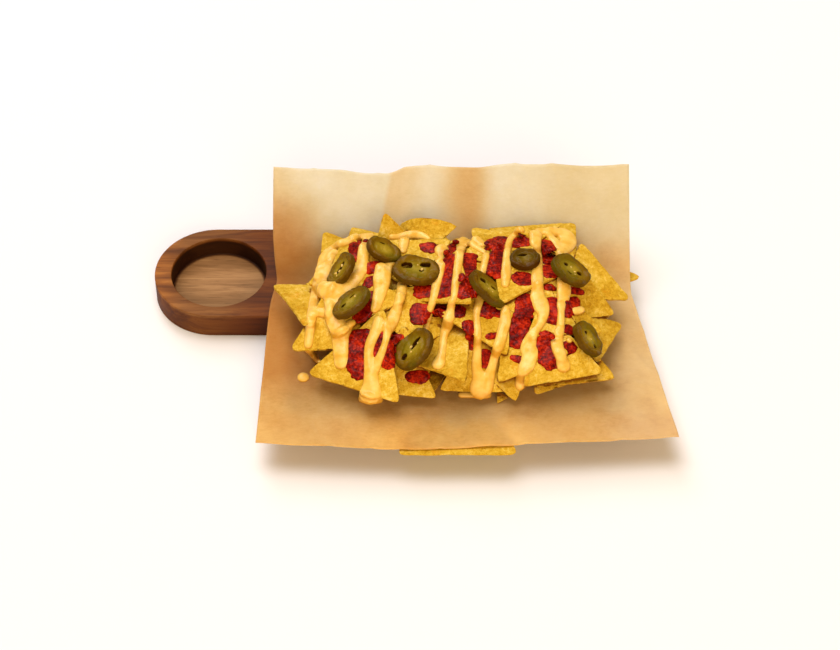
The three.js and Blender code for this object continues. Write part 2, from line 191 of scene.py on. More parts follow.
# Cheese sauce: points of each run, x, y, z and the width there
CHEESE_RUNS = [
    [(-58, 43, 56, 6.2), (-64, 42, 56, 6.1), (-67, 40, 57, 6.1), (-71, 33, 63, 6.2), (-79, 31, 59, 7.2),
     (-81, 34, 55, 7.6), (-83, 34, 53, 8.0), (-87, 30, 53, 8.7), (-90, 24, 54, 9.2), (-93, 3, 58, 8.4),
     (-94, 1, 55, 8.1), (-95, -2, 53, 7.8), (-95, -2, 48, 7.5), (-96, -4, 47, 7.3), (-98, -33, 55, 6.8),
     (-98, -39, 55, 6.6), (-99, -42, 52, 6.3), (-100, -55, 46, 5.8), (-99, -42, 27, 4.6), (-98, -41, 24, 4.3),
     (-97, -41, 22, 4.1), (-95, -48, 26, 3.5), (-92, -60, 37, 3.0)],
    [(-60, 39, 59, 7.2), (-63, 22, 63, 7.7), (-63, 15, 66, 7.9), (-65, 3, 65, 8.4), (-66, -6, 66, 8.9),
     (-70, -11, 65, 9.6), (-77, -16, 63, 9.2), (-80, -20, 64, 8.4), (-83, -25, 61, 7.0), (-83, -31, 59, 6.1),
     (-82, -38, 59, 6.0), (-78, -47, 58, 7.7), (-77, -47, 54, 8.5), (-76, -49, 52, 8.4), (-76, -57, 50, 7.5),
     (-77, -68, 45, 8.9)],
    [(-69, -44, 60, 4.0), (-73, -45, 55, 7.0), (-76, -49, 52, 8.0)],
    [(-85, -19, 64, 6.0), (-82, -17, 65, 9.0), (-79, -13, 64, 10.1), (-71, -10, 65, 8.1)],
    [(-45, 6, 66, 9.6), (-47, 6, 64, 9.3), (-47, 4, 63, 9.1), (-48, -5, 68, 8.6), (-48, -12, 69, 7.8),
     (-48, -16, 67, 7.1), (-50, -23, 67, 6.2), (-53, -36, 63, 4.0)],
    [(-52, -44, 63, 7.0), (-53, -50, 60, 8.2), (-58, -60, 54, 6.4), (-59, -66, 52, 6.0), (-57, -78, 46, 9.1),
     (-57, -88, 42, 11.9), (-57, -90, 40, 13.5), (-57, -90, 35, 16.3)],
    [(-64, -81, 24, 6.0), (-58, -83, 24, 8.0), (-51, -82, 24, 6.0)],
    [(-36, -10, 62, 7.9), (-36, -19, 66, 6.4), (-38, -30, 67, 5.9), (-39, -33, 63, 6.5), (-43, -43, 60, 8.6),
     (-44, -46, 58, 8.0), (-45, -48, 58, 7.1), (-46, -54, 60, 5.4), (-47, -60, 57, 4.2), (-50, -68, 53, 4.9),
     (-55, -77, 47, 7.9)],
    [(-9, 20, 66, 9.7), (-9, 18, 65, 9.4), (-9, 18, 62, 9.1), (-9, 16, 61, 8.9), (-10, 0, 69, 8.2),
     (-15, -31, 68, 5.3), (-17, -36, 63, 4.4), (-18, -37, 59, 4.4), (-21, -48, 55, 5.0)],
    [(6, 43, 51, 7.8), (5, 37, 53, 7.1), (5, 29, 57, 6.6), (3, 6, 74, 6.1), (3, 3, 75, 6.0), (0, -23, 73, 5.2),
     (-1, -36, 73, 4.7), (-2, -37, 72, 4.7), (-3, -37, 68, 4.8), (-3, -38, 67, 4.9), (-4, -43, 66, 5.9),
     (-4, -46, 64, 7.9), (-5, -45, 59, 8.3), (-6, -46, 57, 6.9), (-8, -52, 55, 5.4), (-9, -65, 53, 5.3),
     (-10, -71, 53, 6.5), (-12, -77, 52, 9.7)],
    [(6, 52, 42, 6.3), (8, 49, 44, 5.8), (10, 45, 47, 5.5), (13, 23, 66, 4.7), (21, 15, 67, 4.1)],
    [(22, 12, 69, 4.9), (19, -7, 69, 4.6), (19, -6, 63, 4.5), (18, -9, 61, 4.6), (18, -16, 62, 5.5),
     (17, -28, 67, 6.1), (14, -41, 65, 4.6), (15, -56, 61, 5.0), (15, -58, 59, 5.1), (15, -59, 53, 5.4),
     (14, -72, 44, 6.9), (16, -77, 40, 8.9), (17, -83, 34, 14.9)],
    [(3, -78, 24, 4.5), (23, -78, 24, 6.0)],
    [(34, -36, 66, 5.0), (34, -40, 63, 7.4), (34, -45, 62, 8.1), (29, -64, 56, 7.0), (27, -64, 49, 6.1),
     (25, -70, 45, 5.9), (23, -76, 41, 7.1), (21, -82, 35, 9.1), (20, -83, 32, 8.9)],
    [(48, 36, 68, 4.1), (46, 36, 68, 4.4), (44, 38, 63, 5.1), (42, 37, 62, 5.2), (40, 34, 63, 5.1),
     (38, 27, 64, 4.8), (36, 10, 69, 5.0), (35, -10, 70, 7.6), (34, -20, 70, 4.6)],
    [(57, 35, 66, 9.3), (56, 22, 68, 8.5), (57, 21, 63, 6.9), (58, 17, 62, 6.1), (57, 3, 67, 7.5),
     (56, -16, 69, 8.6), (56, -19, 66, 9.4), (56, -24, 65, 10.0), (60, -33, 64, 9.5), (60, -41, 62, 6.9),
     (58, -46, 61, 5.1), (53, -55, 60, 4.7), (52, -58, 56, 5.3), (49, -70, 50, 10.3), (48, -76, 47, 9.5),
     (47, -68, 32, 8.6), (47, -67, 28, 8.3), (46, -71, 29, 7.8), (44, -79, 35, 7.0), (43, -82, 35, 6.2)],
    [(57, -47, 61, 2.5), (50, -55, 60, 2.8), (48, -56, 57, 2.8), (45, -61, 54, 3.1), (45, -65, 52, 3.5),
     (49, -67, 51, 4.0)],
    [(73, -10, 67, 6.1), (74, -15, 67, 8.4), (75, -19, 65, 10.3), (74, -24, 63, 9.2), (72, -31, 62, 5.7),
     (72, -40, 61, 4.9), (71, -50, 58, 5.6), (69, -55, 55, 8.0), (68, -60, 55, 7.9), (70, -67, 53, 8.3),
     (72, -70, 50, 8.3), (73, -74, 47, 9.5)],
    [(81, -34, 59, 5.0), (84, -32, 58, 7.0), (87, -30, 58, 4.0)],
    [(76, -56, 54, 3.5), (78, -57, 54, 3.5)],
    [(58, 39, 64, 5.2), (64, 41, 62, 6.4), (68, 41, 62, 7.5), (74, 44, 58, 9.5), (77, 44, 58, 10.9),
     (80, 42, 57, 12.0), (80, 37, 58, 12.5), (80, 32, 59, 11.9), (76, 22, 62, 9.2), (73, 16, 64, 6.1)],
    [(65, 39, 63, 6.2), (69, 34, 61, 6.2), (73, 24, 62, 6.2)],
    [(-45, 36, 62, 3.6), (-38, 37, 60, 5.6), (-30, 40, 60, 7.0), (-23, 36, 63, 6.1), (-17, 31, 64, 2.8)],
    [(-34, 32, 64, 5.6), (-36, 18, 64, 4.8)],
    [(14, 32, 65, 5.1), (17, 28, 65, 7.2), (20, 24, 65, 5.1)],
    [(56, -25, 66, 10.0), (56, -31, 64, 10.0), (60, -40, 62, 7.0)],
    [(-94, -2, 52, 10.4), (-93, -3, 52, 11.0), (-91, -6, 53, 11.7), (-88, -18, 63, 12.8), (-87, -19, 63, 13.1),
     (-84, -20, 63, 13.9), (-81, -20, 64, 14.1), (-75, -16, 64, 13.1), (-70, -10, 65, 10.5),
     (-65, -2, 66, 8.3)],
    [(-83, -22, 63, 13.7), (-83, -32, 59, 12.7), (-83, -39, 59, 12.3), (-79, -49, 57, 11.5)],
    [(-97, -29, 56, 6.2), (-95, -31, 57, 6.4), (-86, -34, 57, 6.9), (-83, -36, 59, 6.8)],
    [(-78, -48, 56, 12.9), (-78, -48, 53, 12.6), (-78, -50, 51, 12.3), (-77, -69, 45, 10.2)],
    [(-83, 25, 58, 5.6), (-85, 24, 56, 6.4), (-86, 22, 56, 6.8), (-89, 13, 57, 7.9), (-90, 1, 59, 8.9),
     (-90, -1, 56, 9.4), (-90, -3, 55, 9.7)],
    [(-62, 26, 63, 6.3), (-62, 22, 63, 6.3), (-63, 12, 66, 7.4), (-65, -3, 65, 9.7)],
    [(-50, 0, 69, 9.0), (-52, -12, 69, 8.8), (-52, -21, 67, 6.7), (-55, -37, 63, 5.4)],
    [(-37, -10, 62, 5.5), (-37, -19, 66, 5.8), (-37, -29, 67, 6.3), (-38, -31, 67, 6.4), (-40, -33, 63, 6.8),
     (-43, -41, 60, 7.5), (-47, -52, 61, 6.1)],
    [(-35, 30, 65, 7.0), (-36, 21, 64, 6.3)],
    [(52, -63, 53, 8.1), (50, -70, 50, 10.8), (46, -77, 47, 9.9), (45, -77, 40, 8.6), (43, -81, 36, 6.1)],
]
CHEESE_DROP = (-104, -62, 9)

# Pepper rings: middle, heading of the long axis, degrees that this axis and then its left side tip
# up; half length; length against width; the seed chambers as middle and half sizes, and the seeds as
# middles, all in shares of the half length and half width
RINGS = [
    ((-77.9, -3.6, 69.6, 52, 36, -27), 12.8, 1.25, [(0.05, 0.02, 0.46, 0.17)],
     [(-0.12, -0.06), (-0.34, 0.12), (0.2, 0.06), (-0.42, -0.12)]),
    ((-49.1, 14.9, 69.8, -23, -21, -9), 12.9, 1.25, [(-0.25, 0.42, 0.17, 0.08)], []),
    ((-26.6, -6.1, 71.4, -3, -4, -7), 16.4, 1.1,
     [(-0.42, 0.22, 0.27, 0.25), (0.37, 0.34, 0.24, 0.23), (0.22, -0.08, 0.12, 0.09)],
     [(0.05, 0.3), (0.24, 0.02)]),
    ((-70.4, -33.4, 68.1, 31, 25, -21), 15.0, 1.25, [(-0.38, 0.1, 0.14, 0.12), (0.2, 0.3, 0.16, 0.08)],
     [(0.3, 0.1)]),
    ((-28.0, -66.3, 57.0, 43, 32, -17), 16.2, 1.2, [(0.24, 0.1, 0.36, 0.17), (-0.5, 0.1, 0.17, 0.19)],
     [(0.3, -0.1), (0.0, 0.2), (-0.16, -0.06)]),
    ((22.4, -25.6, 72.9, -35, -28, -26), 16.1, 1.35, [(-0.42, 0.12, 0.16, 0.2), (0.12, 0.3, 0.16, 0.1)],
     [(-0.18, 0.1), (0.0, -0.15), (0.2, -0.1)]),
    ((48.2, 4.5, 71.5, 0, 2, -6), 10.7, 1.1, [(-0.16, 0.34, 0.36, 0.14)], []),
    ((79.2, -7.0, 72.4, -28, -23, -13), 15.0, 1.2,
     [(-0.34, 0.1, 0.12, 0.13), (0.42, 0.06, 0.15, 0.14), (0.02, -0.36, 0.16, 0.09)],
     [(0.2, -0.02), (-0.06, 0.1), (0.28, -0.24)]),
    ((89.8, -54.9, 55.0, -49, -34, -26), 13.6, 1.25, [(-0.34, 0.02, 0.1, 0.14), (0.5, 0.0, 0.14, 0.16)],
     [(0.1, 0.1)]),
]
RING_THICK = 4.6
DARK_RINGS = {7: 0.6}


# Small modelling helpers

def pick_only(piece):
    bpy.ops.object.select_all(action="DESELECT")
    piece.select_set(True)
    bpy.context.view_layer.objects.active = piece


def start(name):
    """The primitive just added, named and ready."""
    piece = bpy.context.object
    piece.name = name
    piece.data.name = name
    pick_only(piece)
    return piece


def set_origin(piece):
    pick_only(piece)
    bpy.ops.object.transform_apply(location=True, rotation=True, scale=True)


def apply_modifier(piece, kind, **settings):
    pick_only(piece)
    modifier = piece.modifiers.new(kind.title(), kind)
    for key, value in settings.items():
        setattr(modifier, key, value)
    bpy.ops.object.modifier_apply(modifier=modifier.name)


def spare(piece, name, matrix):
    """A copy with its own mesh, its place put into the mesh."""
    twin = piece.copy()
    twin.data = piece.data.copy()
    twin.name = name
    twin.data.transform(matrix)
    bpy.context.collection.objects.link(twin)
    return twin


def join(pieces, name):
    bpy.ops.object.select_all(action="DESELECT")
    for piece in pieces:
        piece.select_set(True)
    bpy.context.view_layer.objects.active = pieces[0]
    bpy.ops.object.join()
    return start(name)


def discard(*pieces):
    for piece in pieces:
        bpy.data.objects.remove(piece, do_unlink=True)


def edit(piece, mode="FACE"):
    pick_only(piece)
    bpy.ops.object.mode_set(mode="EDIT")
    bpy.ops.mesh.select_mode(type=mode)
    bpy.ops.mesh.select_all(action="DESELECT")
    bpy.ops.object.mode_set(mode="OBJECT")


def choose(items, test):
    for item in items:
        item.select = bool(test(item))
    bpy.ops.object.mode_set(mode="EDIT")


def done():
    bpy.ops.object.mode_set(mode="OBJECT")


def smoothstep(low, high, value):
    share = min(1.0, max(0.0, (value - low) / (high - low)))
    return share * share * (3 - 2 * share)


def mix(a, b, share):
    return a + (b - a) * share


# Paper and heap surfaces, in millimetres

def sag(x):
    left = (x + 48) / (42 if x < -48 else 13)
    right = (x - 15) / 18
    return SAG_DEPTH[0] * math.exp(-left * left) + SAG_DEPTH[1] * math.exp(-right * right)


def sheet_height(x, y):
    across = min(1.0, max(0.0, 0.5 + x / 254))
    past = max(0.0, y - mix(*BEND_Y, across))
    radius = mix(*BEND_RADIUS, across)
    slope = mix(*BACK_SLOPE, across)
    ramp = slope * past * past / (2 * radius) if past < radius else slope * (past - radius / 2)
    shoulder = SHOULDER * (1 - smoothstep(-120, -50, x)) * smoothstep(3, 22, past)
    rim = max(smoothstep(50, 88, x), smoothstep(35, 66, -y), smoothstep(95, 125, -x))
    middle = MIDDLE_RISE * smoothstep(-118, -75, x) * (1 - smoothstep(30, 118, x)) * smoothstep(5, 60, past)
    return BOARD_THICK + GAP + RIM_LIFT * rim + ramp + shoulder + middle - sag(x) * min(1.0, past / 60)


def heap_top(x, y):
    along = max(0.0, 1 - abs(x / HEAP_HALF_LENGTH) ** 3) ** 0.7
    deep = max(0.0, 1 - abs((y - HEAP_Y) / HEAP_HALF_DEPTH) ** 2.4) ** 0.75
    return HEAP_BASE + HEAP_HEIGHT * along * deep


def rest_top(x, y):
    return max(heap_top(x, y), sheet_height(x, y) + 2.4)


# Board

def make_board():
    """Round handle end first, then drawn out to the handle, the body and its front half."""
    bpy.ops.mesh.primitive_cylinder_add(
        vertices=96, radius=HANDLE_HALF_WIDTH * MM, depth=BOARD_THICK * MM,
        location=(HANDLE_END_X * MM, HANDLE_Y * MM, BOARD_THICK / 2 * MM))
    board = start("serving_board")
    set_origin(board)
    edit(board)
    bpy.ops.object.mode_set(mode="EDIT")
    bpy.ops.mesh.select_all(action="SELECT")
    bpy.ops.mesh.bisect(plane_co=(HANDLE_END_X * MM, 0, 0), plane_no=(1, 0, 0),
                        use_fill=True, clear_outer=True)
    done()
    for reach in (-BODY_HALF_LENGTH - HANDLE_END_X, 2 * BODY_HALF_LENGTH):
        edit(board)
        choose(board.data.polygons, lambda face: face.normal.x > 0.9)
        bpy.ops.mesh.extrude_region_move(TRANSFORM_OT_translate={"value": (reach * MM, 0, 0)})
        done()
    edit(board)
    choose(board.data.polygons, lambda face: face.normal.y < -0.9 and abs(face.center.x) < 5 * MM)
    depth = BODY_FRONT - (HANDLE_Y - HANDLE_HALF_WIDTH)
    bpy.ops.mesh.extrude_region_move(TRANSFORM_OT_translate={"value": (0, depth * MM, 0)})
    done()
    round_upright_edges(board, [(BODY_HALF_LENGTH, BODY_BACK), (BODY_HALF_LENGTH, BODY_FRONT),
                                (-BODY_HALF_LENGTH, BODY_FRONT)], BODY_CORNER)
    round_upright_edges(board, [(-BODY_HALF_LENGTH, HANDLE_Y - HANDLE_HALF_WIDTH)], INNER_CORNER)
    bpy.ops.mesh.primitive_cylinder_add(
        vertices=96, radius=RECESS_RADIUS * MM, depth=2 * (BOARD_THICK - RECESS_FLOOR) * MM,
        location=(RECESS_X * MM, HANDLE_Y * MM, BOARD_THICK * MM))
    cutter = start("recess_cutter")
    apply_modifier(board, "BOOLEAN", object=cutter, operation="DIFFERENCE", solver="EXACT")
    discard(cutter)
    apply_modifier(board, "BEVEL", width=1.5 * MM, segments=4, limit_method="ANGLE",
                   angle_limit=math.radians(50), use_clamp_overlap=True)
    bpy.ops.object.shade_smooth_by_angle(angle=math.radians(35))
    return board


def round_upright_edges(board, corners, radius):
    points = board.data.vertices

    def upright(bar):
        a, b = (points[i].co for i in bar.vertices)
        level = (a - b).xy.length < 0.1 * MM
        return level and any((a.xy - Vector(corner) * MM).length < 0.5 * MM for corner in corners)

    edit(board, "EDGE")
    choose(board.data.edges, upright)
    bpy.ops.mesh.bevel(offset=radius * MM, segments=10, affect="EDGES")
    done()


# Paper

def sheet_front(x):
    return SHEET_FRONT + 0.063 * (math.hypot(x + 31, 20) - 20)


def crumple(x, y):
    """Soft creases of handled paper, strongest where the sheet hangs free."""
    free = max(smoothstep(84, 100, -y), 1.25 * smoothstep(30, 60, y), smoothstep(112, 128, abs(x)))
    broad = noise.noise(Vector((x / 46, y / 38, 3.1))) + 0.5 * noise.noise(Vector((x / 19, y / 23, 8.4)))
    crease = 1 - abs(noise.noise(Vector(((x + 0.6 * y) / 31, (y - 0.3 * x) / 42, 5.7))))
    return free * (1.5 * broad + 1.1 * crease ** 6) + 0.12 * noise.noise(Vector((x / 6, y / 6, 1.0)))


def make_paper():
    bpy.ops.mesh.primitive_grid_add(x_subdivisions=150, y_subdivisions=128, size=1)
    paper = start("kraft_sheet")
    for point in paper.data.vertices:
        across, along = point.co.x + 0.5, point.co.y + 0.5
        half = 0 if along < BEND_SHARE else 1
        part = (along - BEND_SHARE) / (1 - BEND_SHARE) if half else along / BEND_SHARE
        x = mix(mix(*SHEET_LEFT[half:half + 2], part), mix(*SHEET_RIGHT[half:half + 2], part), across)
        bend = mix(*BEND_Y, across)
        back = mix(*SHEET_BACK, across) - 0.5 * sag(x)
        y = mix(bend, back, part) if half else mix(sheet_front(x), bend, part)
        x += EDGE_TUCK * math.exp(-((y - 30) / 15) ** 2) * (1 - across) ** 8
        point.co = Vector((x, y, sheet_height(x, y) + crumple(x, y))) * MM
    apply_modifier(paper, "SOLIDIFY", thickness=SHEET_THICK * MM, offset=1)
    bpy.ops.object.shade_smooth()
    return paper


# Tortilla chips

def chip_blank(name, cuts, bow, turn, twist):
    """A flat triangle of masa with soft corners, bowed and twisted as it fried, one corner at +X."""
    reach = CHIP_SIDE / math.sqrt(3)
    bpy.ops.mesh.primitive_circle_add(vertices=3, radius=reach * MM, fill_type="NGON",
                                      rotation=(0, 0, -math.pi / 2))
    blank = start(name)
    set_origin(blank)
    bpy.ops.object.mode_set(mode="EDIT")
    bpy.ops.mesh.select_all(action="SELECT")
    bpy.ops.mesh.subdivide(number_cuts=cuts)
    done()
    lean = math.radians(turn)

    def curl(x, y):
        across = (x * math.cos(lean) + y * math.sin(lean)) / reach
        aside = (y * math.cos(lean) - x * math.sin(lean)) / reach
        return twist * across * aside - bow * across * across

    corners = [(math.cos(k * math.tau / 3), math.sin(k * math.tau / 3)) for k in range(3)]
    for point in blank.data.vertices:
        x, y = point.co.x / MM, point.co.y / MM
        angle = math.atan2(y, x) % (math.tau / 3) - math.pi / 3
        edge = reach / 2 / math.cos(angle)
        soft = (edge ** -22 + (reach - 2.2) ** -22) ** (-1 / 22)
        share = math.hypot(x, y) / edge
        ragged = 1 + 0.02 * noise.noise(Vector((x / 8, y / 8, turn))) * share
        pull = (1 - (1 - soft / edge) * share ** 3) * ragged
        level = sum(curl(a * reach, b * reach) * (1 + 2 * (x * a + y * b) / reach) / 3 for a, b in corners)
        ripple = 0.45 * noise.noise(Vector((x / 15, y / 15, 2 + turn)))
        point.co = Vector((x * pull, y * pull, curl(x, y) - level + ripple)) * MM
    apply_modifier(blank, "SOLIDIFY", thickness=CHIP_THICK * MM, offset=0)
    apply_modifier(blank, "BEVEL", width=0.5 * MM, segments=2, limit_method="ANGLE",
                   angle_limit=math.radians(60))
    return blank


def chip_place(x, y, z, heading, pitch, roll):
    turns = (Matrix.Rotation(math.radians(heading), 4, "Z") @ Matrix.Rotation(-math.radians(pitch), 4, "Y")
             @ Matrix.Rotation(math.radians(roll), 4, "X"))
    return Matrix.Translation(Vector((x, y, z)) * MM) @ turns


def lying_under(x, y, heading):
    """A place for a chip of the layer below, along the heap's slope there."""
    turn = math.radians(heading)
    ahead = Vector((math.cos(turn), math.sin(turn))) * 12
    left = Vector((-math.sin(turn), math.cos(turn))) * 12
    tilts = []
    for step in (ahead, left):
        rise = rest_top(x + step.x, y + step.y) - rest_top(x - step.x, y - step.y)
        tilts.append(math.degrees(math.atan(max(-14, min(14, rise)) / 24)) + random.uniform(-6, 6))
    return x, y, rest_top(x, y) - LOWER_DROP, heading, *tilts


def clear_of_paper(chip):
    """Draws a chip up and forward until none of it is in the paper."""
    for _ in range(6):
        sunk = max(sheet_height(p.co.x / MM, p.co.y / MM) + 0.6 - p.co.z / MM for p in chip.data.vertices)
        if sunk < 0.02:
            break
        chip.data.transform(Matrix.Translation(Vector((0, -0.68, 0.73)) * sunk * MM))


def within_heap(chip):
    """Draws a chip of the layer below inwards until the chips on top hide its corners."""
    def far_out(point):
        x, y, _ = point.co / MM
        return abs(x / 108) ** 3 + abs((y + 10) / 68) ** 3

    for _ in range(20):
        far = max(chip.data.vertices, key=far_out)
        if far_out(far) < 1:
            break
        inwards = Vector((-far.co.x, -0.01 - far.co.y, 0)).normalized()
        chip.data.transform(Matrix.Translation(2 * MM * inwards))


def heap_of_chips():
    random.seed(11)
    fine = [chip_blank(f"blank_{i}", 36, *curl) for i, curl in enumerate(BLANKS)]
    plain = [chip_blank(f"plain_{i}", 15, *curl) for i, curl in enumerate(BLANKS[:5])]
    chips = []
    for *place, size, kind in CHIPS:
        chips.append(spare(fine[kind], "chip", chip_place(*place) @ Matrix.Scale(size, 4)))
    for k in range(LOWER_CHIPS):
        spread = math.sqrt((k + 0.5) / LOWER_CHIPS)
        turn = k * GOLDEN_TURN
        x, y = LOWER_REACH[0] * spread * math.cos(turn), LOWER_Y + LOWER_REACH[1] * spread * math.sin(turn)
        chips.append(spare(plain[k % 5], "chip", chip_place(*lying_under(x, y, random.uniform(0, 120)))))
        within_heap(chips[-1])
    for chip in chips:
        clear_of_paper(chip)
    crumb = Matrix.Translation(Vector((31, -82, 26)) * MM) @ Matrix.Rotation(0.3, 4, "X")
    chips.append(spare(plain[2], "crumb", crumb @ Matrix.Scale(0.16, 4)))
    discard(*plain)
    return join(chips, "tortilla_chips"), fine


def blister(chips, amount):
    """Small bubbles that rose on both faces while frying."""
    bubbles = bpy.data.textures.new("bubbles", "CLOUDS")
    bubbles.noise_scale = 3.4 * MM
    bubbles.noise_depth = 2
    apply_modifier(chips, "DISPLACE", texture=bubbles, texture_coords="GLOBAL", direction="NORMAL",
                   mid_level=0.45, strength=amount * MM)
    bpy.ops.object.shade_smooth()


def mark_nooks(chips, surface):
    """Notes how far each spot of the chips is overhung by what lies on it, for painted shade in the nooks."""
    nook = chips.data.attributes.new("nook", "FLOAT", "POINT")
    sideways = ((0.8, 0, 0.3), (-0.8, 0, 0.3), (0, 0.8, 0.3), (0, -0.8, 0.3))
    leans = [Vector(lean) for lean in ((0, 0, 0.1), *sideways)]
    for point, spot in zip(chips.data.vertices, nook.data):
        start_at = point.co + point.normal * 0.5 * MM
        hits = 0
        for lean in leans:
            found = surface.ray_cast(start_at, (point.normal + lean).normalized(), NOOK_REACH * MM)
            hits += 1 - found[3] / (NOOK_REACH * MM) if found[0] else 0
        spot.value = hits / len(leans)


def heap_core():
    """The chips' inside, well below the chips that show, dark brown as painted shade."""
    bpy.ops.mesh.primitive_uv_sphere_add(segments=48, ring_count=24, radius=1)
    core = start("heap_inside")
    for point in core.data.vertices:
        x = point.co.x * CORE_SHARE[0] * HEAP_HALF_LENGTH
        y = HEAP_Y + point.co.y * CORE_SHARE[1] * HEAP_HALF_DEPTH
        floor = sheet_height(x, y) + 0.8
        top = max(floor + 0.4, heap_top(x, y) - CORE_DROP)
        point.co = Vector((x, y, top if point.co.z > 0 else floor)) * MM
    bpy.ops.object.shade_smooth()
    return core


# Sauces

def top_of(pieces):
    """All that lies there so far, as one surface to look down on."""
    points, faces = [], []
    for piece in pieces:
        first = len(points)
        points += [v.co.copy() for v in piece.data.vertices]
        faces += [[first + i for i in p.vertices] for p in piece.data.polygons]
    return BVHTree.FromPolygons(points, faces)


def look_down(surface, spot):
    """How high the surface is over or under a spot, or the spot's own height where there is none."""
    hit = surface.ray_cast(Vector((spot.x, spot.y, 200)) * MM, Vector((0, 0, -1)))
    return hit[0].z / MM if hit[0] else spot.z


def ease(points, reach):
    """Rounds the corners of a run and evens its widths."""
    weights = [math.exp(-0.5 * (k / reach) ** 2) for k in range(-2 * reach, 2 * reach + 1)]
    last = len(points) - 1
    eased = []
    for i in range(len(points)):
        total = Vector((0, 0, 0, 0))
        for k, weight in enumerate(weights, i - 2 * reach):
            total += points[min(last, max(0, k))] * weight
        eased.append(total / sum(weights))
    return eased


def trace(run, surface, step=0.8):
    """Even steps along a run, raised where the surface stands a little over it."""
    points = []
    for a, b in zip(run, run[1:]):
        a, b = Vector(a), Vector(b)
        count = max(1, round((b - a).xyz.length / step))
        points += [a.lerp(b, k / count) for k in range(count)]
    points = ease(points + [Vector(run[-1])], 3)
    for point in points:
        over = look_down(surface, point) - point.z
        point.z += over if 0 < over < 4 else 0
    return ease(points, 2)


def facing(surface, spot):
    """Outward direction of the surface near a spot, averaged over a few millimetres."""
    total = Vector((0, 0, 0.2))
    for dx, dy in ((0, 0), (2, 0), (-2, 0), (0, 2), (0, -2)):
        near = surface.find_nearest((spot + Vector((dx, dy, 0))) * MM)
        normal = near[1] if near[1].z > 0 else -near[1]
        total += normal
    return total.normalized()


def puddle(name, dabs, voxel, rounds):
    """Many flattened dabs melted into one skin."""
    bpy.ops.mesh.primitive_ico_sphere_add(subdivisions=2, radius=1)
    dab = start("dab")
    parts = []
    for spot, up, half, high in dabs:
        lean = up.to_track_quat("Z", "Y").to_matrix().to_4x4()
        size = Matrix.Diagonal((half, half, high, 1))
        parts.append(spare(dab, "dab", Matrix.Scale(MM, 4) @ Matrix.Translation(spot) @ lean @ size))
    discard(dab)
    sauce = join(parts, name)
    apply_modifier(sauce, "REMESH", mode="VOXEL", voxel_size=voxel * MM)
    apply_modifier(sauce, "SMOOTH", factor=0.6, iterations=rounds)
    bpy.ops.object.shade_smooth()
    return sauce


def pour_salsa(surface):
    """A thin lumpy layer that follows the chips under it."""
    random.seed(5)
    dabs = []
    for run in SALSA_RUNS:
        steps = trace(run, surface, 1.2)
        for i, point in enumerate(steps):
            taper = min(1.0, 0.7 + 0.15 * min(i, len(steps) - 1 - i))
            half = (2.55 + 0.6 * point.w * (1 + 0.35 * noise.noise(point.xyz / 3))) * taper
            along = steps[min(i + 1, len(steps) - 1)].xyz - steps[max(i - 1, 0)].xyz
            up = facing(surface, point.xyz)
            side = up.cross(along).normalized()
            rows = max(0, math.ceil((half - 2.0) / 1.6))
            for k in range(-rows, rows + 1):
                grain = random.uniform(0.8, 1.2)
                reach = min(half, 2.6) * (0.95 if k else 1)
                shift = half - reach + random.uniform(-0.7, 0.7)
                spot = point.xyz + side * shift * (k / rows if rows else 0)
                spot += Vector((random.uniform(-0.4, 0.4), random.uniform(-0.4, 0.4), 0))
                near = surface.find_nearest(spot * MM, 3 * MM)
                spot = near[0] / MM if near[0] else spot
                dabs.append((spot, facing(surface, spot), reach, 0.85 * grain))
    return puddle("salsa", dabs, SALSA_GRAIN, 3)


def pour_cheese(surface):
    """Thick strands that run over the chips, with pools where they end on the paper."""
    dabs = []
    for run in CHEESE_RUNS:
        steps = trace(run, surface)
        for i, point in enumerate(steps):
            half = 0.25 + point.w / 2 * (1.06 + 0.1 * noise.noise(point.xyz / 9))
            dabs.append((point.xyz, facing(surface, point.xyz), half, min(2.6, 1.0 + 0.36 * half)))
    x, y, width = CHEESE_DROP
    drop = Vector((x, y, sheet_height(x, y) + 0.6))
    dabs.append((drop, Vector((0, 0, 1)), width / 2, 2.4))
    cheese = puddle("cheese_sauce", dabs, CHEESE_GRAIN, 5)
    # Steepness of each spot, for painted shade on the flanks of the strands.
    flank = cheese.data.attributes.new("flank", "FLOAT", "POINT")
    for point, spot in zip(cheese.data.vertices, flank.data):
        spot.value = 1 - point.normal.z
    return cheese


# Pepper rings

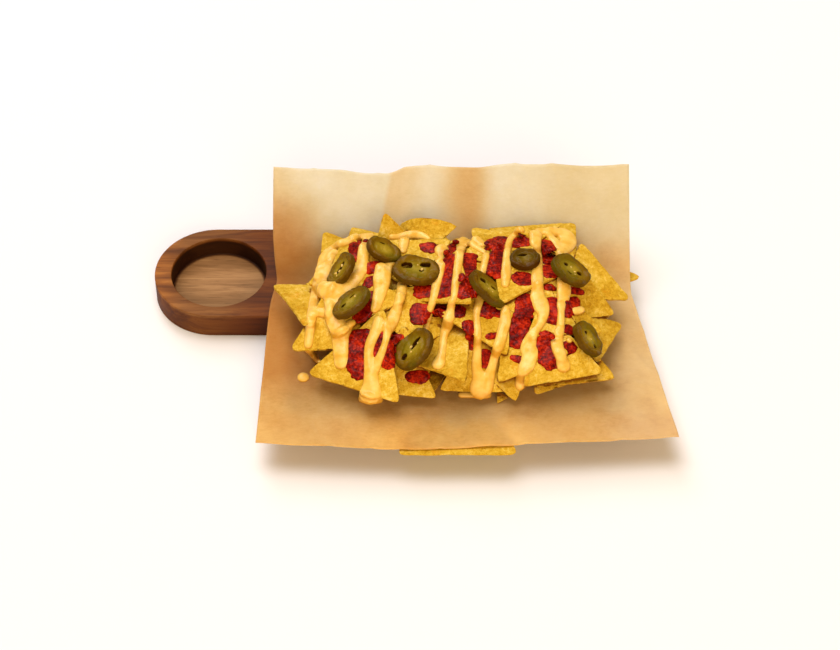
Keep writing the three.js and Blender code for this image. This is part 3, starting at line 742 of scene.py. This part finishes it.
def make_ring(number, place, radius, stretch, chambers, seeds):
    """A slice of pickled pepper: a soft disc, its seed chambers cut through, then slumped."""
    bpy.ops.mesh.primitive_cylinder_add(vertices=48, radius=radius * MM, depth=RING_THICK * MM)
    ring = start(f"pepper_slice_{number}")
    for x, y, long, wide in chambers:
        bpy.ops.mesh.primitive_uv_sphere_add(segments=24, ring_count=12, radius=radius * MM)
        cutter = start("chamber")
        cutter.scale = (long, wide, 1.1 * RING_THICK / radius)
        cutter.location = Vector((x, y, 0)) * radius * MM
        set_origin(cutter)
        apply_modifier(ring, "BOOLEAN", object=cutter, operation="DIFFERENCE", solver="EXACT")
        discard(cutter)
    apply_modifier(ring, "REMESH", mode="VOXEL", voxel_size=RING_GRAIN * MM)
    apply_modifier(ring, "SMOOTH", factor=0.6, iterations=5)
    bpy.ops.mesh.primitive_uv_sphere_add(segments=10, ring_count=6, radius=1)
    seed = start("seed")
    parts = [ring]
    for x, y in seeds:
        sit = Matrix.Translation(Vector((x * radius, y * radius, RING_THICK / 2 - 0.5)))
        size = Matrix.Diagonal((1.5, 1.1, 0.6, 1))
        turn = Matrix.Rotation(5 * x + 3 * y, 4, "Z")
        parts.append(spare(seed, "seed", Matrix.Scale(MM, 4) @ sit @ turn @ size))
    discard(seed)
    flesh = len(ring.data.vertices)
    ring = join(parts, f"pepper_slice_{number}")
    pith = ring.data.attributes.new("pith", "FLOAT", "POINT")
    hollow = ring.data.attributes.new("hollow", "FLOAT", "POINT")
    for point in ring.data.vertices:
        x, y, z = point.co / MM
        u, v = x / radius, y / radius
        out = math.hypot(u, v)
        near = min([math.hypot((u - a) / (c + 0.03), (v - b) / (d + 0.03)) for a, b, c, d in chambers])
        seeded = point.index >= flesh
        # Pith pales towards the middle and grows darker down towards the underside as painted shade; the
        # chamber walls get painted shade, and some rings a darker tone of their own.
        pith.data[point.index].value = 2.0 if seeded else (1 - out) * smoothstep(-2.0, 1.6, z)
        deep = (1 - smoothstep(0.9, 1.25, near)) * (1 - smoothstep(0.6, 2.4, z))
        hollow.data[point.index].value = 0 if seeded else max(deep, DARK_RINGS.get(number, 0))
        turn = math.atan2(y, x)
        wave = noise.noise(Vector((math.cos(turn) * 1.4, math.sin(turn) * 1.4, 7.0 * number)))
        groove = 0.75 * math.exp(-((out - 0.62) / 0.12) ** 2) - 0.5 * math.exp(-((out - 0.82) / 0.1) ** 2)
        dent = 0.9 * (1 - smoothstep(0.0, 0.7, out)) + groove * (1 + 1.5 * wave)
        folds = 0.55 * noise.noise(Vector((x / 4.5, y / 4.5, z / 5 + 5 * number)))
        folds += 0.3 * noise.noise(Vector((x / 2, y / 2, z / 3 + 9 * number)))
        swell = 1 + 0.07 * wave - 0.03 * abs(z) / RING_THICK
        rise = z - dent * (1 if z > 0 else -0.3) + folds + 1.6 * wave * out
        point.co = Vector((x * swell, y * swell / stretch, rise)) * MM
    ring.data.transform(chip_place(*place))
    pick_only(ring)
    bpy.ops.object.shade_smooth()
    return ring


# Materials

class Wire:
    """A socket that can be used in plain arithmetic."""

    def __init__(self, finish, socket):
        self.finish = finish
        self.socket = socket

    def maths(self, operation, first, second=0.0):
        return self.finish.node("ShaderNodeMath", {"operation": operation}, {0: first, 1: second})

    def __add__(self, other):
        return self.maths("ADD", self, other)

    def __radd__(self, other):
        return self.maths("ADD", other, self)

    def __sub__(self, other):
        return self.maths("SUBTRACT", self, other)

    def __rsub__(self, other):
        return self.maths("SUBTRACT", other, self)

    def __mul__(self, other):
        return self.maths("MULTIPLY", self, other)

    def __rmul__(self, other):
        return self.maths("MULTIPLY", other, self)


class Finish:
    """One material: its nodes, and the shader they feed."""

    def __init__(self, name, **fixed):
        self.material = bpy.data.materials.new(name)
        self.material.use_nodes = True
        self.tree = self.material.node_tree
        self.shader = self.tree.nodes["Principled BSDF"]
        for key, value in fixed.items():
            self.shader.inputs[key.replace("_", " ")].default_value = value

    def node(self, kind, settings=None, values=None, out=0):
        made = self.tree.nodes.new(kind)
        for key, value in (settings or {}).items():
            if key == "stops":
                set_stops(made.color_ramp, value)
            else:
                setattr(made, key, value)
        for key, value in (values or {}).items():
            self.feed(made.inputs[key], value)
        return Wire(self, made.outputs[out])

    def feed(self, socket, value):
        if isinstance(value, Wire):
            self.tree.links.new(value.socket, socket)
        else:
            socket.default_value = value

    def spot(self, scale=(1, 1, 1), turn=(0, 0, 0)):
        place = self.node("ShaderNodeTexCoord", out="Object")
        return self.node("ShaderNodeMapping", None, {"Vector": place, "Rotation": turn, "Scale": scale})

    def clouds(self, size, detail=3.0, rough=0.55, bend=0.0, scale=(1, 1, 1), turn=(0, 0, 0)):
        """Soft noise whose features measure about size millimetres."""
        values = {"Vector": self.spot(scale, turn), "Scale": 1000 / size, "Detail": detail,
                  "Roughness": rough, "Distortion": bend}
        return self.node("ShaderNodeTexNoise", None, values, "Fac")

    def along(self, axis):
        """Where a spot is along X, Y or Z, in metres."""
        return self.node("ShaderNodeSeparateXYZ", None, {"Vector": self.spot()}, axis)

    def cells(self, size):
        """Distance to the nearest of scattered points about size millimetres apart."""
        values = {"Vector": self.spot(), "Scale": 1000 / size}
        return self.node("ShaderNodeTexVoronoi", None, values, "Distance")

    def band(self, value, low, high):
        """Rises softly from 0 at low to 1 at high, or falls where high is the lesser."""
        values = {"Value": value, "From Min": low, "From Max": high}
        return self.node("ShaderNodeMapRange", {"interpolation_type": "SMOOTHSTEP"}, values)

    def ramp(self, value, stops):
        return self.node("ShaderNodeValToRGB", {"stops": stops}, {"Fac": value}, "Color")

    def tint(self, share, first, second, way="MIX"):
        values = {"Factor": share, 6: first, 7: second}
        return self.node("ShaderNodeMix", {"data_type": "RGBA", "blend_type": way}, values, 2)

    def deepen(self, share, colour, by):
        """Multiplies a colour by another, as far as share says."""
        return self.tint(share, colour, (*by, 1), "MULTIPLY")

    def bump(self, height, depth, strength=1.0):
        values = {"Height": height, "Distance": depth * MM, "Strength": strength}
        return self.node("ShaderNodeBump", None, values, "Normal")

    def paint(self, **wires):
        for key, value in wires.items():
            self.feed(self.shader.inputs[key.replace("_", " ")], value)
        return self.material


def set_stops(ramp, stops):
    while len(ramp.elements) < len(stops):
        ramp.elements.new(1.0)
    for element, (place, colour) in zip(ramp.elements, stops):
        element.position = place
        element.color = (*colour, 1)


def oiled_walnut():
    wood = Finish("oiled_walnut", Coat_Weight=0.04, Coat_Roughness=0.45, Specular_IOR_Level=0.12)
    streaks = wood.clouds(9, 5, 0.6, 1.2, (0.09, 1, 1))
    rings = wood.clouds(34, 2, 0.5, 2.0, (0.12, 1, 0.6))
    pores = wood.clouds(0.9, 2, 0.7, 0, (0.04, 1, 1))
    grain = 0.55 * streaks + 0.45 * rings
    dark = wood.ramp(grain, [(0.32, (0.055, 0.017, 0.004)), (0.47, (0.145, 0.053, 0.013)),
                             (0.58, (0.24, 0.102, 0.029)), (0.72, (0.36, 0.172, 0.058))])
    pale = wood.ramp(grain, [(0.32, (0.16, 0.075, 0.024)), (0.47, (0.27, 0.14, 0.055)),
                             (0.58, (0.38, 0.21, 0.09)), (0.72, (0.48, 0.29, 0.135))])
    height, length = wood.along("Z"), wood.along("X")
    away = wood.node("ShaderNodeVectorMath", {"operation": "DISTANCE"},
                     {0: wood.spot((1, 1, 0)), 1: (RECESS_X * MM, HANDLE_Y * MM, 0)}, "Value")
    floor = wood.band(height, 0.0075, 0.0055) * wood.band(away, 0.034, 0.031)
    # Painted shade: the wall of the recess turned nearly black, where little light reaches.
    wall = wood.band(height, 0.0185, 0.016) * wood.band(away, 0.0355, 0.0345) * (1 - floor)
    colour = wood.tint(floor, dark, pale)
    colour = wood.tint(wall * 0.8, colour, (0.012, 0.002, 0.0005, 1))
    outside = 1 - floor
    # Painted light on the round end of the handle; painted shade over the part under the paper sheet and on
    # the sides below the top edge.
    colour = wood.deepen(wood.band(length, -0.19, -0.215) * outside, colour, (1.75, 1.6, 1.1))
    colour = wood.deepen(wood.band(length, -0.175, -0.135) * outside, colour, (0.66, 0.46, 0.27))
    colour = wood.deepen(wood.band(height, 0.0192, 0.0165) * outside, colour, (0.55, 0.42, 0.28))
    open_pores = wood.band(pores, 0.58, 0.7)
    colour = wood.tint(open_pores * 0.5, colour, (0.02, 0.006, 0.003, 1))
    return wood.paint(Base_Color=colour, Roughness=0.5 + 0.25 * streaks,
                      Normal=wood.bump(0.6 * pores + streaks, 0.25, 0.6))


def kraft_paper():
    kraft = Finish("kraft_paper", Specular_IOR_Level=0.1, Subsurface_Weight=0.6,
                   Subsurface_Radius=(0.005, 0.0035, 0.002), Subsurface_Scale=1.0)
    mottle = kraft.clouds(55, 3, 0.55)
    cloud = kraft.clouds(16, 4, 0.6)
    pulp = kraft.clouds(2.2, 4, 0.7, 0.4, (0.5, 1, 1))
    fibres = kraft.clouds(1.1, 3, 0.75, 2.0, (0.25, 1, 1), (0, 0, 0.4))
    tone = 0.42 * mottle + 0.28 * cloud + 0.18 * pulp + 0.12 * fibres
    brown = kraft.ramp(tone, [(0.38, (0.43, 0.205, 0.065)), (0.5, (0.54, 0.285, 0.105)),
                              (0.63, (0.61, 0.35, 0.15))])
    # The cream is painted light: the glow of the raised back of the sheet where light shines through it.
    cream = kraft.ramp(tone, [(0.36, (0.55, 0.47, 0.34)), (0.5, (0.61, 0.54, 0.42)),
                              (0.62, (0.66, 0.6, 0.5))])
    across, deep, height = kraft.along("X"), kraft.along("Y"), kraft.along("Z")
    # Painted shade on the raised panel: darker towards its lower left corner, in the dip of its sag and along
    # a slanted crease.
    raised = kraft.band(height + 0.03 * (mottle - 0.5), 0.03, 0.052)
    corner = kraft.band(across + 0.6 * height, -0.105, -0.055)
    dip = kraft.band(across + 0.012 * (cloud - 0.5), -0.02, 0.009) * kraft.band(across, 0.034, 0.012)
    slant = across - 0.28 * height
    crease = kraft.band(slant, -0.0685, -0.0635) * kraft.band(slant, -0.03, -0.06)
    pale = (1 - 0.85 * dip - 0.5 * crease) * (0.15 + 0.85 * corner)
    colour = kraft.tint(raised * pale, brown, cream)
    # Painted shade where the sheet bends up at the left.
    left = kraft.band(across + 0.02 * (mottle - 0.5), -0.072, -0.118)
    bend = kraft.band(height + 0.012 * (mottle - 0.5), 0.075, 0.05) * kraft.band(deep, -0.09, -0.05)
    colour = kraft.deepen(left * bend * 0.95, colour, (0.68, 0.48, 0.31))
    # Painted light: the middle of the front strip made lighter and warmer.
    lip = kraft.band(deep + 0.02 * (cloud - 0.5), -0.092, -0.116) * kraft.band(across, -0.085, -0.03)
    colour = kraft.deepen(lip * kraft.band(across, 0.07, 0.02), colour, (1.4, 1.27, 1.0))
    # More painted shade in the dip, and towards the right of the raised panel.
    colour = kraft.deepen(dip * raised * 0.6, colour, (0.72, 0.7, 0.68))
    shade = kraft.band(across + 0.02 * (cloud - 0.5), 0.04, 0.085) * raised
    colour = kraft.deepen(shade * 0.85, colour, (0.87, 0.79, 0.68))
    right = kraft.band(across + 0.03 * (cloud - 0.5), 0.085, 0.125) * (1 - raised)
    colour = kraft.tint(right * 0.12, colour, (1, 0.86, 0.66, 1))
    # Darker and less yellow towards the front right corner.
    corner_tan = kraft.band(across, 0.08, 0.13) * kraft.band(deep + 0.02 * (cloud - 0.5), -0.08, -0.11)
    colour = kraft.deepen(corner_tan * 0.9, colour, (0.85, 0.83, 0.92))
    flecks = kraft.band(fibres, 0.68, 0.78)
    colour = kraft.tint(flecks * 0.3, colour, (0.3, 0.14, 0.05, 1))
    return kraft.paint(Base_Color=colour, Roughness=0.8 + 0.1 * pulp,
                       Normal=kraft.bump(0.6 * fibres + pulp, 0.15, 0.6))


def fried_corn():
    corn = Finish("fried_corn", Specular_IOR_Level=0.12)
    broad = corn.clouds(20, 3, 0.55)
    bubbles = corn.clouds(3.4, 3, 0.6, 0.6)
    grit = corn.clouds(1.1, 3, 0.7)
    tone = 0.34 * broad + 0.4 * bubbles + 0.26 * grit
    colour = corn.ramp(tone, [(0.36, (0.4, 0.2, 0.004)), (0.45, (0.55, 0.32, 0.013)),
                              (0.54, (0.68, 0.45, 0.045)), (0.64, (0.82, 0.62, 0.17))])
    specks = corn.band(corn.cells(2.4), 0.17, 0.07) * corn.band(corn.clouds(7, 2), 0.47, 0.6)
    colour = corn.tint(specks * 0.35, colour, (0.4, 0.17, 0.006, 1))
    toast = corn.band(corn.clouds(13, 4, 0.65), 0.57, 0.75)
    colour = corn.tint(toast * 0.5, colour, (0.68, 0.27, 0.004, 1))
    # Painted shade: chips darker where other chips overhang them.
    nook = corn.node("ShaderNodeAttribute", {"attribute_name": "nook"}, None, "Fac")
    colour = corn.tint(corn.band(nook, 0.04, 0.42) * 0.9, colour, (0.2, 0.055, 0.002, 1))
    pits = corn.band(corn.cells(1.7), 0.1, 0.42)
    return corn.paint(Base_Color=colour, Roughness=0.6 + 0.2 * grit,
                      Normal=corn.bump(bubbles + 0.35 * grit + 0.3 * pits, 1.2, 0.8))


def heap_shade():
    inside = Finish("heap_inside", Specular_IOR_Level=0.1)
    crumbs = inside.clouds(6, 4, 0.6)
    # Painted shade: dark brown for the inside of the heap, seen only in its gaps.
    colour = inside.ramp(crumbs, [(0.35, (0.06, 0.018, 0.002)), (0.6, (0.22, 0.08, 0.008))])
    return inside.paint(Base_Color=colour, Roughness=0.8 + 0.1 * crumbs, Normal=inside.bump(crumbs, 2.0))


def warm_cheese():
    cheese = Finish("warm_cheese", Subsurface_Weight=0.15, Subsurface_Radius=(0.003, 0.0018, 0.0006),
                    Subsurface_Scale=1.0, Coat_Weight=0.35, Coat_Roughness=0.2, Specular_IOR_Level=0.3)
    milky = cheese.clouds(7, 3, 0.5)
    flank = cheese.node("ShaderNodeAttribute", {"attribute_name": "flank"}, None, "Fac")
    colour = cheese.ramp(milky, [(0.35, (0.73, 0.42, 0.045)), (0.5, (0.8, 0.5, 0.085)),
                                 (0.65, (0.86, 0.57, 0.14))])
    # Painted shade: darker orange on the steep flanks of the strands.
    colour = cheese.tint(cheese.band(flank, 0.25, 1.0) * 0.75, colour, (0.6, 0.29, 0.012, 1))
    return cheese.paint(Base_Color=colour, Roughness=0.34 + 0.12 * milky,
                        Normal=cheese.bump(milky, 0.25, 0.4))


def red_salsa():
    salsa = Finish("red_salsa", Coat_Weight=0.08, Coat_Roughness=0.08, Specular_IOR_Level=0.06)
    chunks = salsa.clouds(1.8, 3, 0.6, 0.5)
    depth = salsa.clouds(9, 3, 0.55)
    tone = 0.55 * chunks + 0.45 * depth
    colour = salsa.ramp(tone, [(0.4, (0.06, 0.0004, 0.0001)), (0.5, (0.21, 0.003, 0.0003)),
                               (0.6, (0.48, 0.022, 0.001))])
    pips = salsa.band(salsa.cells(3.2), 0.13, 0.06)
    colour = salsa.tint(pips * 0.35, colour, (0.6, 0.1, 0.01, 1))
    return salsa.paint(Base_Color=colour, Roughness=0.4 + 0.2 * chunks, Normal=salsa.bump(chunks, 0.6, 0.8))


def pickled_skin():
    pickle = Finish("pickled_pepper", Coat_Weight=0.09, Coat_Roughness=0.12, Specular_IOR_Level=0.05)
    pith = pickle.node("ShaderNodeAttribute", {"attribute_name": "pith"}, None, "Fac")
    hollow = pickle.node("ShaderNodeAttribute", {"attribute_name": "hollow"}, None, "Fac")
    veins = pickle.clouds(2.6, 3, 0.6, 0.8)
    patches = pickle.clouds(8, 2, 0.5)
    place = pith + 0.3 * (veins - 0.5) + 0.4 * (patches - 0.5)
    colour = pickle.ramp(place * 0.5, [(0.0, (0.09, 0.044, 0.0008)), (0.1, (0.16, 0.084, 0.0014)),
                                       (0.22, (0.2, 0.125, 0.0026)), (0.36, (0.28, 0.195, 0.009)),
                                       (0.5, (0.44, 0.32, 0.04)), (0.85, (0.72, 0.5, 0.16))])
    green = pickle.band(pickle.clouds(14, 2, 0.5), 0.5, 0.62)
    colour = pickle.tint(green * 0.3, colour, (0.07, 0.09, 0.003, 1))
    # Painted shade in the seed chambers, and the darker tone of some rings.
    colour = pickle.tint(hollow * 0.9, colour, (0.045, 0.01, 0.0005, 1))
    return pickle.paint(Base_Color=colour, Roughness=0.3 + 0.2 * veins, Normal=pickle.bump(veins, 0.6, 0.7))


def dress(piece, material, slot, *nodes):
    """Gives a finished piece its material and body, and hides the nodes it stands for; the slot is not used.
    """
    piece.data.materials.clear()
    piece.data.materials.append(material)
    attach(piece, "root")
    if nodes:
        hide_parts(*nodes)
    return piece


# The object

board = dress(make_board(), oiled_walnut(), "walnut_wood", "board")
paper = dress(make_paper(), kraft_paper(), "kraft_paper", "paper")

corn = fried_corn()
core = dress(heap_core(), heap_shade(), "tortilla_chip", "chip_heap")
chips, blanks = heap_of_chips()
blister(chips, 0.75)
mark_nooks(chips, top_of([chips, core]))
dress(chips, corn, "tortilla_chip", "chip_heap")

strays = [("stray_chip_right", 101, 36, 0, 1.0), ("stray_chip_front", 1, -105, 90, 1.448)]
for node, x, y, heading, size in strays:
    place = Matrix.Translation(Vector((x, y, BOARD_THICK + 1.35)) * MM)
    flat = Matrix.Diagonal((size, size, 0.6, 1))
    stray = spare(blanks[4], node + "_fried", place @ Matrix.Rotation(math.radians(heading), 4, "Z") @ flat)
    blister(stray, 0.4)
    dress(stray, corn, "tortilla_chip", node)
discard(*blanks)

salsa = pour_salsa(top_of([chips, core, paper]))
cheese = pour_cheese(top_of([chips, core, paper, salsa]))
dress(salsa, red_salsa(), "salsa")
dress(cheese, warm_cheese(), "cheese_sauce")

pickle = pickled_skin()
for number, recipe in enumerate(RINGS, 1):
    dress(make_ring(number, *recipe), pickle, "pickled_pepper", f"pepper_ring_{number}")


# Stage: pale floor, soft light and the camera

PANEL_AIM = Vector((0, 0, 0.03))


def soft_panel(name, size, power, place, colour):
    bpy.ops.object.light_add(type="AREA", location=place)
    lamp = bpy.context.object
    lamp.name = name
    lamp.data.size = size
    lamp.data.energy = power
    lamp.data.color = colour
    lamp.rotation_euler = (PANEL_AIM - Vector(place)).to_track_quat("-Z", "Y").to_euler()


bpy.ops.mesh.primitive_plane_add(size=8)
floor = start("pale_floor")
white = Finish("pale_floor", Roughness=0.9, Specular_IOR_Level=0.1)
white.paint(Base_Color=(0.82, 0.85, 0.93, 1))
floor.data.materials.append(white.material)

soft_panel("overhead", 3.6, 200, (-0.9, 0.9, 4.9), (1, 0.94, 0.88))
soft_panel("back", 2.4, 75, (-1.5, 3.7, 3.4), (1, 1, 1.06))
soft_panel("front_fill", 3.0, 170, (0.8, -4.3, 2.2), (1, 0.72, 0.38))

world = bpy.data.worlds.new("studio")
bpy.context.scene.world = world
world.use_nodes = True
background = world.node_tree.nodes["Background"]
background.inputs["Color"].default_value = (1.0, 0.74, 0.46, 1)
background.inputs["Strength"].default_value = 0.38

CAMERA_AIM = Vector((-0.024, -0.0094, 0.020))
CAMERA_DISTANCE = 1.6825
CAMERA_ELEVATION = math.radians(47)
CAMERA_LENS = 102.857
CAMERA_SENSOR = 36
camera = bpy.data.objects.new("camera", bpy.data.cameras.new("camera"))
bpy.context.collection.objects.link(camera)
away = Vector((0, -math.cos(CAMERA_ELEVATION), math.sin(CAMERA_ELEVATION)))
camera.location = CAMERA_AIM + CAMERA_DISTANCE * away
camera.rotation_euler = (math.pi / 2 - CAMERA_ELEVATION, 0, 0)
camera.data.sensor_width = CAMERA_SENSOR
camera.data.lens = CAMERA_LENS
bpy.context.scene.camera = camera
bpy.context.scene.view_settings.view_transform = "Standard"
